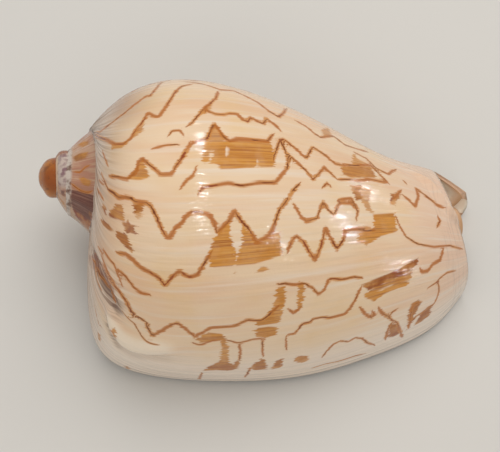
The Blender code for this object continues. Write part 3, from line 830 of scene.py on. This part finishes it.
# The two poles and the deep end of the hollow: their turn in degrees, place and kind of surface
poles = {
    "apexWithin": 10,  # mm along the axis
    "apex": (1700, 0.08, kinds["outside"]),
    "end": (390, 0.9, kinds["hollow"]),
}


def closeShell(bm):
    bmesh.ops.remove_doubles(bm, verts=bm.verts, dist=grid["weld"])
    bmesh.ops.dissolve_degenerate(bm, edges=bm.edges, dist=grid["weld"])
    bmesh.ops.delete(bm, geom=[v for v in bm.verts if not v.link_faces], context="VERTS")
    sheetFaces = set(bm.faces)
    ends = bmesh.ops.holes_fill(bm, edges=[e for e in bm.edges if e.is_boundary], sides=0)["faces"]
    ends.sort(key=lambda face: face.calc_perimeter())
    bmesh.ops.poke(bm, faces=ends[:2])  # the apex and the columella's tip
    bmesh.ops.triangulate(bm, faces=ends[2:], ngon_method="EAR_CLIP")  # the deep end of the hollow
    growthLayer, marksLayer, stainsLayer = (bm.loops.layers.float_vector[x] for x in attributes[:3])
    for face in set(bm.faces) - sheetFaces:
        atApex = face.calc_center_median().x < poles["apexWithin"] * mm
        for loop in face.loops:
            loop[growthLayer] = poles["apex" if atApex else "end"]
            loop[marksLayer] = measure["noLine"][:3]
            loop[stainsLayer] = measure["noBlotch"][:3]
    bmesh.ops.recalc_face_normals(bm, faces=bm.faces)
    if bm.calc_volume(signed=True) < 0:
        bmesh.ops.reverse_faces(bm, faces=bm.faces)


def layDown(bm):
    turn = Matrix.Rotation(math.radians(growth["axisHeading"]), 3, "Z")
    turn = turn @ Matrix.Rotation(math.radians(growth["axisTilt"]), 3, "Y")
    bmesh.ops.rotate(bm, verts=bm.verts, matrix=turn)
    points = np.array([v.co for v in bm.verts])
    low, high = points.min(axis=0), points.max(axis=0)
    middle, wanted = (low + high) / 2, (shellLow + shellHigh) / 2
    lift = shellLow.z - low[2]
    bmesh.ops.translate(bm, verts=bm.verts, vec=(wanted.x - middle[0], wanted.y - middle[1], lift))


bm = buildShell()
closeShell(bm)
layDown(bm)
mesh = bpy.data.meshes.new("voluteShellSurface")
bm.to_mesh(mesh)
bm.free()
mesh.shade_smooth()
shell = bpy.data.objects.new("voluteShellSurface", mesh)
bpy.context.scene.collection.objects.link(shell)
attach(shell, "root")
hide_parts("volute_shell")
triangles = sum(len(p.vertices) - 2 for p in mesh.polygons)
print("shell made:", len(mesh.polygons), "faces,", triangles, "triangles")


# Small helpers for materials
def put(tree, socket, value):
    if isinstance(value, bpy.types.NodeSocket):
        tree.links.new(value, socket)
    else:
        socket.default_value = value


def calc(tree, operation, *values, clamp=False):
    made = tree.nodes.new("ShaderNodeMath")
    made.operation = operation
    made.use_clamp = clamp
    for socket, value in zip(made.inputs, values):
        put(tree, socket, value)
    return made.outputs[0]


def ease(tree, value, low, high, weakest=0.0, strongest=1.0):
    made = tree.nodes.new("ShaderNodeMapRange")
    made.interpolation_type = "SMOOTHSTEP"
    names = ("Value", "From Min", "From Max", "To Min", "To Max")
    for name, given in zip(names, (value, low, high, weakest, strongest)):
        put(tree, made.inputs[name], given)
    return made.outputs["Result"]


def mixed(tree, factor, first, second):
    made = tree.nodes.new("ShaderNodeMix")
    made.data_type = "RGBA"
    for number, given in ((0, factor), (6, first), (7, second)):  # its factor and its two colours
        put(tree, made.inputs[number], given)
    return made.outputs[2]


def paint(code):  # a colour as it is seen, to what the shader takes
    seen = [int(code[i : i + 2], 16) / 255 for i in (0, 2, 4)]
    return tuple(c / 12.92 if c <= 0.04045 else ((c + 0.055) / 1.055) ** 2.4 for c in seen) + (1.0,)


def makeStreaks():
    # noise drawn out along the growth lines
    group = bpy.data.node_groups.new("growthStreaks", "ShaderNodeTree")
    for name in ("Back", "Place", "Across", "Along", "Seed", "Detail"):
        group.interface.new_socket(name=name, in_out="INPUT", socket_type="NodeSocketFloat")
    group.interface.new_socket(name="Streak", in_out="OUTPUT", socket_type="NodeSocketFloat")
    given = group.nodes.new("NodeGroupInput").outputs
    vector = group.nodes.new("ShaderNodeCombineXYZ")
    put(group, vector.inputs[0], calc(group, "MULTIPLY", given["Back"], given["Across"]))
    put(group, vector.inputs[1], calc(group, "MULTIPLY", given["Place"], given["Along"]))
    put(group, vector.inputs[2], given["Seed"])
    noise = group.nodes.new("ShaderNodeTexNoise")
    put(group, noise.inputs["Vector"], vector.outputs[0])
    noise.inputs["Scale"].default_value = 1.0
    put(group, noise.inputs["Detail"], given["Detail"])
    noise.inputs["Roughness"].default_value = glaze["streakRoughness"]
    shown = group.nodes.new("NodeGroupOutput")
    put(group, shown.inputs["Streak"], noise.outputs[0])
    return group


glaze = {
    "cream": "EFD3B2",
    "peach": "EBC4A0",
    "pink": "E8C6B2",
    "straw": "ECC892",
    "white": "F1E4D6",
    # painted shade for the shoulder where it turns away from the light
    "shoulderShade": "A98368",
    "weathered": "DFC9B6",
    "dull": "987C69",
    # the furrow's dark growth lines and the painted shade in it
    "furrow": "84695A",
    # painted highlight on top of the crest
    "crest": "F8EAD6",
    "line": "6C2A0A",
    "lineRed": "8C3618",
    "lineSoft": "BE7026",
    "linePale": "CF8B42",
    "blotch": "D6913B",
    "blotchDeep": "AC6628",
    "blotchPale": "DFA95F",
    "darkBlotch": "86330A",
    # the spire's own darker tone, laid on partly as painted shade
    "spire": "B8917A",
    "spireDark": "6B4138",
    "spirePlum": "99705F",
    "spireRed": "A8604A",
    "dome": "C07A30",
    "domeDeep": "98501C",
    "domeCrack": "74401E",
    "worn": "C9B7AC",
    "wornPurple": "8C6C70",
    "callus": "CFC4BA",
    "callusDark": "6F5347",
    "inner": "EBD3B4",
    "innerDeep": "DBA877",
    "parietal": "E8B98C",
    # the canal's pale glaze, painted lighter to lift the shade inside the canal and on the tongue
    "canal": "FBEBD6",
    # orange towards the canal's edge, partly the glaze and partly painted shade
    "canalEdgeToneAndShade": "DDAA7C",
    "canalRim": "E6BE9E",
    # noise drawn out along the growth: how fine across it (per degree) and along it, seed, detail
    "streaks": {
        "broad": (0.06, 2.5, 1.0, 3.0),
        "medium": (0.35, 3.0, 2.0, 3.0),
        "fine": (1.3, 6.0, 3.0, 3.0),
        "hair": (3.2, 14.0, 4.0, 3.0),
        "comb": (1.5, 22.0, 5.0, 3.0),
        "growthLine": (0.75, 1.6, 6.0, 3.0),
        "notchLine": (0.03, 130.0, 7.0, 3.0),
        "ripple": (0.8, 16.0, 8.0, 0.8),
    },
    "streakRoughness": 0.6,
    # plain noise: how fine, detail
    "clouds": {"cloud": (60, 3.0), "patch": (170, 3.0), "speckle": (420, 3.0), "grain": (800, 2.0)},
    # where each effect is none and where it's full, on the scale it is read from, and how strong it is
    # there if not 0 and 1
    "fades": {
        "peachBand": (0.42, 0.66),
        "strawCloud": (0.45, 0.80, 0, 0.6),
        "pinkPlace": (0.70, 0.95, 0, 0.6),
        "whiteBand": (0.48, 0.72, 0, 0.5),
        "pinkBand": (0.55, 0.75, 0, 0.25),
        "paleLip": (36, 12, 0, 0.8),
        "spireBack": (345, 365),
        "flush": (0.50, 0.70, 0, 0.55),
        # painted shade on the shoulder, on the near side and the far side
        "shoulderShade": (0.30, 0.08, 0, 0.72),
        "farShoulder": (0.35, 0.20, 0, 0.8),
        "farShoulderBack": (106, 136),
        "suturePlace": (0.26, 0.09),
        "sutureBack": (345, 300),
        "furrowReach": (15, 5),
        "furrowPlace": (0.32, 0.26),
        "dullLine": (0.46, 0.60, 0, 0.8),
        "whiteLine": (0.46, 0.36, 0, 0.6),
        "canalPlace": (0.88, 0.94),
        "canalBack": (150, 125),
        "notchLine": (0.50, 0.64, 0, 0.22),
        # painted light on the tongue at the canal's end
        "tonguePlace": (0.86, 0.93),
        "tongueBack": (150, 175),
        # painted shade by the furrow's depth
        "furrowShade": (-0.10, -0.75, 0, 0.9),
        "furrowEnd": (0.31, 0.27, 0.25, 1),
        "furrowLine": (0.40, 0.56, 0.45, 1),
        # painted highlight by the crest's height
        "crestHighlight": (0.3, 1.5, 0, 0.7),
        "blotchEdge": (0.30, -0.30),
        "blotchHair": (0.30, 0.55, 0.93, 1),
        "blotchPatch": (0.30, 0.52, 0.88, 1),
        "blotchDeep": (0.38, 0.68),
        "blotchPale": (0.48, 0.62, 0, 0.6),
        "spirePlum": (0.42, 0.66, 0, 0.7),
        "plumBack": (355, 365),
        "darkPatch": (0.36, 0.60, 0.55, 1.6),
        "betweenLines": (0.80, 0.52),
        "fringeWidth": (0.35, 0.70, 0.75, 1.6),
        "fringeEdge": (0.40, -0.25, 0, 0.9),
        "fringePale": (0.40, 0.60),
        "coreWidth": (0.35, 0.65, 0.55, 0.15),
        "coreEdge": (0.14, -0.10),
        "corePatch": (0.42, 0.58, 0.2, 0.9),
        "coreRed": (0.42, 0.60),
        "callusPlace": (0.034, 0.016),
        "callusBack": (900, 800),
        "callusSpeckle": (0.45, 0.62),
        "wornStart": (745, 775),
        "wornEnd": (860, 820),
        "wornSpeckle": (0.42, 0.62),
        "ringPlace": (0.060, 0.035, 0, 0.7),
        "ringBack": (725, 740),
        "domeBack": (825, 850),
        "domeCloud": (0.40, 0.65),
        "domeSpeckle": (0.54, 0.66, 0, 0.6),
        "parietalStart": (235, 275),
        "parietalEnd": (345, 335),
        "parietalPlace": (0.10, 0.16, 0, 0.85),
        "deepBack": (5, 150),
        "deepPlace": (0.85, 0.70),
        "innerCloud": (0.4, 0.7, 0, 0.35),
        "canalInside": (0.82, 0.90),
        # where the orange towards the canal's edge, partly painted shade, comes in
        "canalEdgeToneAndShade": (0.965, 0.998),
        "rimPlace": (0.88, 0.97),
        "offOutside": (0.2, 0.8),
        "onRim": (2.4, 2.8),
        "roughness": (0.3, 0.7, 0.05, 0.11),
    },
    "spireShare": 0.75,
    "weatheredShare": 0.6,
    "callusShare": 0.9,
    "furrowMiddle": 46,  # degrees back from the lip
    "furrowRag": 0.8,  # mm by which streaks push an edge
    "lineRag": 0.45,
    "blotchRag": 0.7,
    "lineComb": 1.25,  # and by which they pull it along the growth
    "blotchComb": 5.0,
    "wornRag": 80,  # degrees
    "columellaKind": 0.4,
    "wornRoughness": 0.30,
    "callusRoughness": 0.20,
    # how much each pattern raises the glaze
    "heights": {
        "ripple": 0.9,
        "fine": 0.25,
        "notches": 1.2,
        "hair": 0.05,
        "medium": 0.3,
        "worn": 1.2,
        "grain": 0.35,
    },
    "bumpStrength": 0.35,
    "bumpDistance": 0.0004,
    "ior": 1.5,
}


def glazedShell():
    g = glaze
    material = bpy.data.materials.new("glazedShell")
    material.use_nodes = True
    tree = material.node_tree
    shader = tree.nodes["Principled BSDF"]
    streaks = makeStreaks()

    def attribute(name):
        made = tree.nodes.new("ShaderNodeAttribute")
        made.attribute_name = name
        split = tree.nodes.new("ShaderNodeSeparateXYZ")
        put(tree, split.inputs[0], made.outputs["Vector"])
        return split.outputs

    def streak(name):
        made = tree.nodes.new("ShaderNodeGroup")
        made.node_tree = streaks
        for socket, value in zip(made.inputs, (back, place, *g["streaks"][name])):
            put(tree, socket, value)
        return made.outputs["Streak"]

    def noise(name):
        made = tree.nodes.new("ShaderNodeTexNoise")
        where = tree.nodes.new("ShaderNodeTexCoord")
        put(tree, made.inputs["Vector"], where.outputs["Object"])
        made.inputs["Scale"].default_value, made.inputs["Detail"].default_value = g["clouds"][name]
        return made.outputs[0]

    def joined(operation, first, *others):
        for other in others:
            first = calc(tree, operation, first, other)
        return first

    def times(*values):
        return joined("MULTIPLY", *values)

    def plus(*values):
        return joined("ADD", *values)

    def minus(first, second):
        return calc(tree, "SUBTRACT", first, second)

    def size(value):
        return calc(tree, "ABSOLUTE", value)

    def fade(name, value):
        return ease(tree, value, *g["fades"][name])

    def over(under, share, tone):  # a tone laid over another; either can be the name of a colour
        under, tone = (paint(g[x]) if isinstance(x, str) else x for x in (under, tone))
        return mixed(tree, share, under, tone)

    back, place, kind = attribute("growth")
    side, away, halfWidth = attribute("marks")
    stain, strength, dark = attribute("stains")
    acrossLine, acrossBlotch, crease = attribute("comb")
    broad, medium, fine, hair = streak("broad"), streak("medium"), streak("fine"), streak("hair")
    growthLine, notchLine, comb = streak("growthLine"), streak("notchLine"), minus(streak("comb"), 0.5)
    cloud, patch, speckle = noise("cloud"), noise("patch"), noise("speckle")

    # ground: cream with broad growth bands, paler at the lip, pinker towards the canal
    colour = over("cream", fade("peachBand", broad), "peach")
    colour = over(colour, fade("strawCloud", cloud), "straw")
    colour = over(colour, fade("pinkPlace", place), "pink")
    colour = over(colour, fade("whiteBand", medium), "white")
    colour = over(colour, fade("pinkBand", fine), "pink")
    colour = over(colour, fade("paleLip", back), "white")

    # the spire has a pink flush and a darker tone, partly painted shade; painted shade darkens the shoulder
    onSpire = fade("spireBack", back)
    # a darker tone over the spire, partly its own colour and partly painted shade
    colour = over(colour, times(onSpire, g["spireShare"]), "spire")
    colour = over(colour, times(fade("flush", plus(medium, minus(cloud, 0.5))), onSpire), "spireRed")
    shoulderShade = times(fade("farShoulder", place), fade("farShoulderBack", back))
    shoulderShade = calc(tree, "MAXIMUM", fade("shoulderShade", place), shoulderShade)
    colour = over(colour, times(shoulderShade, minus(1.0, onSpire)), "shoulderShade")

    # growth lines stand out in grey-brown and white next to the suture and in the furrow behind the lip
    nearSuture = times(fade("suturePlace", place), fade("sutureBack", back))
    inFurrow = times(fade("furrowReach", size(minus(back, g["furrowMiddle"]))), fade("furrowPlace", place))
    weathered = calc(tree, "MAXIMUM", nearSuture, inFurrow)
    colour = over(colour, times(weathered, g["weatheredShare"]), "weathered")
    colour = over(colour, times(fade("dullLine", growthLine), weathered), "dull")
    colour = over(colour, times(fade("whiteLine", growthLine), weathered), "white")

    # old notches have left arcs along the canal's end
    nearCanal = times(fade("canalPlace", place), fade("canalBack", back))
    colour = over(colour, times(fade("notchLine", notchLine), nearCanal), "dull")
    # painted light: the tongue at the canal's end is painted as pale as the canal, to lift the shade on it
    colour = over(colour, times(fade("tonguePlace", place), fade("tongueBack", back)), "canal")

    # painted shade darkens the furrow by its depth, along with its own dark growth lines, and a painted
    # highlight makes the crest beside it pale
    inFurrow = fade("furrowShade", plus(crease, times(minus(fine, 0.5), g["furrowRag"])))
    inFurrow = times(inFurrow, fade("furrowEnd", place), fade("furrowLine", growthLine))
    colour = over(colour, inFurrow, "furrow")
    # painted highlight where the crest rises
    colour = over(colour, fade("crestHighlight", crease), "crest")

    # blotches, combed along the growth lines
    push = times(comb, acrossBlotch, g["blotchComb"])
    push = plus(push, times(minus(fine, 0.5), g["blotchRag"]))
    inBlotch = times(fade("blotchEdge", plus(stain, push)), fade("blotchHair", hair))
    inBlotch = times(inBlotch, fade("blotchPatch", patch))
    tone = over("blotch", fade("blotchDeep", fine), "blotchDeep")
    tone = over(tone, fade("blotchPale", hair), "blotchPale")
    plum = over("spireDark", fade("spirePlum", fine), "spirePlum")
    darkTone = over("darkBlotch", fade("plumBack", back), plum)
    tone = over(tone, calc(tree, "MULTIPLY", dark, fade("darkPatch", patch), clamp=True), darkTone)
    colour = over(colour, times(inBlotch, strength), tone)

    # lines: a wide orange fringe and a darker core, both combed where they cross the growth
    rag = plus(times(comb, acrossLine, g["lineComb"]), times(minus(hair, 0.5), g["lineRag"]))
    offLine = size(plus(side, rag))
    # between two lines the side turns over too, but there it's much less than the distance
    near = fade("betweenLines", minus(away, size(side)))
    fringe = fade("fringeEdge", minus(offLine, times(halfWidth, fade("fringeWidth", fine))))
    colour = over(colour, times(fringe, near), over("lineSoft", fade("fringePale", patch), "linePale"))
    core = fade("coreEdge", minus(offLine, times(halfWidth, fade("coreWidth", medium))))
    core = times(core, near, fade("corePatch", patch))
    colour = over(colour, core, over("line", fade("coreRed", cloud), "lineRed"))

    # the callus that seals the suture
    onCallus = times(fade("callusPlace", place), fade("callusBack", back))
    tone = over("callus", fade("callusSpeckle", speckle), "callusDark")
    colour = over(colour, times(onCallus, g["callusShare"]), tone)

    # worn first whorls and the dome at the tip
    wornBack = plus(back, times(minus(cloud, 0.5), g["wornRag"]))
    worn = times(fade("wornStart", wornBack), fade("wornEnd", wornBack))
    colour = over(colour, worn, over("worn", fade("wornSpeckle", speckle), "wornPurple"))
    colour = over(colour, times(fade("ringPlace", place), fade("ringBack", back)), "cream")
    tone = over("dome", fade("domeCloud", cloud), "domeDeep")
    tone = over(tone, fade("domeSpeckle", speckle), "domeCrack")
    colour = over(colour, fade("domeBack", wornBack), tone)

    # the glaze over the parietal wall, the columella, the hollow and the rim
    parietal = times(fade("parietalStart", back), fade("parietalEnd", back), fade("parietalPlace", place))
    colour = over(colour, parietal, "parietal")
    tone = over("inner", times(fade("deepBack", back), fade("deepPlace", place)), "innerDeep")
    tone = over(tone, fade("innerCloud", cloud), "cream")
    onColumella = calc(tree, "LESS_THAN", size(minus(kind, kinds["columella"])), g["columellaKind"])
    tone = over(tone, onColumella, "parietal")
    # inside the canal: pale glaze painted lighter to lift its shade, orange at the edge partly painted shade
    tone = over(tone, fade("canalInside", place), over("canal", fade("canalEdgeToneAndShade", place), "canalEdgeToneAndShade"))
    colour = over(colour, fade("offOutside", kind), tone)
    colour = over(colour, fade("onRim", kind), over("white", fade("rimPlace", place), "canalRim"))
    put(tree, shader.inputs["Base Color"], colour)

    rough = plus(fade("roughness", hair), times(worn, g["wornRoughness"]))
    rough = plus(rough, times(onCallus, g["callusRoughness"]))
    put(tree, shader.inputs["Roughness"], rough)
    shader.inputs["IOR"].default_value = g["ior"]

    raised = {
        "ripple": streak("ripple"),
        "fine": fine,
        "notches": times(notchLine, nearCanal),
        "hair": hair,
        "medium": medium,
        "worn": times(speckle, worn),
        "grain": noise("grain"),
    }
    bump = tree.nodes.new("ShaderNodeBump")
    bump.inputs["Strength"].default_value = g["bumpStrength"]
    bump.inputs["Distance"].default_value = g["bumpDistance"]
    height = plus(*(times(raised[name], much) for name, much in g["heights"].items()))
    put(tree, bump.inputs["Height"], height)
    put(tree, shader.inputs["Normal"], bump.outputs[0])
    return material


mesh.materials.append(glazedShell())
print("glaze made")

# Studio, in millimetres from the floor under the shell's middle
studio = {
    "viewFrom": (-5.1, -117.5, 292.4),
    "viewAt": (-5.1, 12.7, 0.1),
    "lens": 60.12,
    "sensor": 36,
    "nearest": 10,
    "floorSize": 4000,
    "floor": "DAD8D4",
    "floorRoughness": 0.85,
    "floorShine": 0.2,
    "world": "F4F3F0",
    "worldStrength": 0.45,
    "lamps": {  # where, what it is aimed at, size, power, tint
        "ceiling": ((100, 330, 800), (0, 20, 0), (900, 700), 4.5, "FFFBF6"),
        "front": ((-60, -620, 520), (0, 0, 30), (700, 300), 1.05, "FFF6EC"),
    },
    # small lamps that only the glaze shows, as bright dashes: where, what each is aimed at, power
    "sparks": (
        ((93, 427, 621), (-19, 7, 75), 0.38),
        ((122, -64, 759), (-18, -8, 73), 0.36),
        ((86, -317, 693), (-19, -16, 70), 0.30),
        ((641, -53, 385), (25, -11, 56), 0.32),
        ((625, 316, 249), (34, 1, 53), 0.12),
        ((431, -384, 482), (4, -20, 62), 0.12),
        ((683, -299, 109), (46, -19, 39), 0.18),
    ),
    "sparkSize": (15, 15),
    "sparkTint": "FFFFFF",
}
floorMiddle = Vector(((shellLow.x + shellHigh.x) / 2, (shellLow.y + shellHigh.y) / 2, shellLow.z))


def studioPoint(point):
    return floorMiddle + Vector(point) * mm


def aimed(thing, at):
    thing.rotation_euler = (studioPoint(at) - thing.location).to_track_quat("-Z", "Y").to_euler()


def makeFloor():
    bm = bmesh.new()
    bmesh.ops.create_grid(bm, x_segments=1, y_segments=1, size=studio["floorSize"] * mm / 2)
    bmesh.ops.translate(bm, verts=bm.verts, vec=floorMiddle)
    floorMesh = bpy.data.meshes.new("floor")
    bm.to_mesh(floorMesh)
    bm.free()
    floor = bpy.data.objects.new("floor", floorMesh)
    bpy.context.scene.collection.objects.link(floor)
    material = bpy.data.materials.new("paleFloor")
    material.use_nodes = True
    shader = material.node_tree.nodes["Principled BSDF"]
    shader.inputs["Base Color"].default_value = paint(studio["floor"])
    shader.inputs["Roughness"].default_value = studio["floorRoughness"]
    shader.inputs["Specular IOR Level"].default_value = studio["floorShine"]
    floorMesh.materials.append(material)


def makeLamp(name, place, target, size, power, tint, spark=False):
    data = bpy.data.lights.new(name, "AREA")
    data.shape = "RECTANGLE"
    data.size, data.size_y = size[0] * mm, size[1] * mm
    data.energy = power
    data.color = paint(tint)[:3]
    lamp = bpy.data.objects.new(name, data)
    lamp.location = studioPoint(place)
    aimed(lamp, target)
    lamp.visible_glossy, lamp.visible_diffuse = spark, not spark
    bpy.context.scene.collection.objects.link(lamp)


def makeWorld():
    world = bpy.data.worlds.new("softRoom")
    world.use_nodes = True
    background = world.node_tree.nodes["Background"]
    background.inputs["Color"].default_value = paint(studio["world"])
    background.inputs["Strength"].default_value = studio["worldStrength"]
    bpy.context.scene.world = world


def makeCamera():
    data = bpy.data.cameras.new("camera")
    data.lens = studio["lens"]
    data.sensor_width = studio["sensor"]
    data.clip_start = studio["nearest"] * mm
    camera = bpy.data.objects.new("camera", data)
    camera.location = studioPoint(studio["viewFrom"])
    aimed(camera, studio["viewAt"])
    bpy.context.scene.collection.objects.link(camera)
    bpy.context.scene.camera = camera


makeFloor()
for name, values in studio["lamps"].items():
    makeLamp(name, *values)
for place, target, power in studio["sparks"]:
    makeLamp("spark", place, target, studio["sparkSize"], power, studio["sparkTint"], True)
makeWorld()
makeCamera()
bpy.context.scene.view_settings.view_transform = "Standard"
print("studio made")
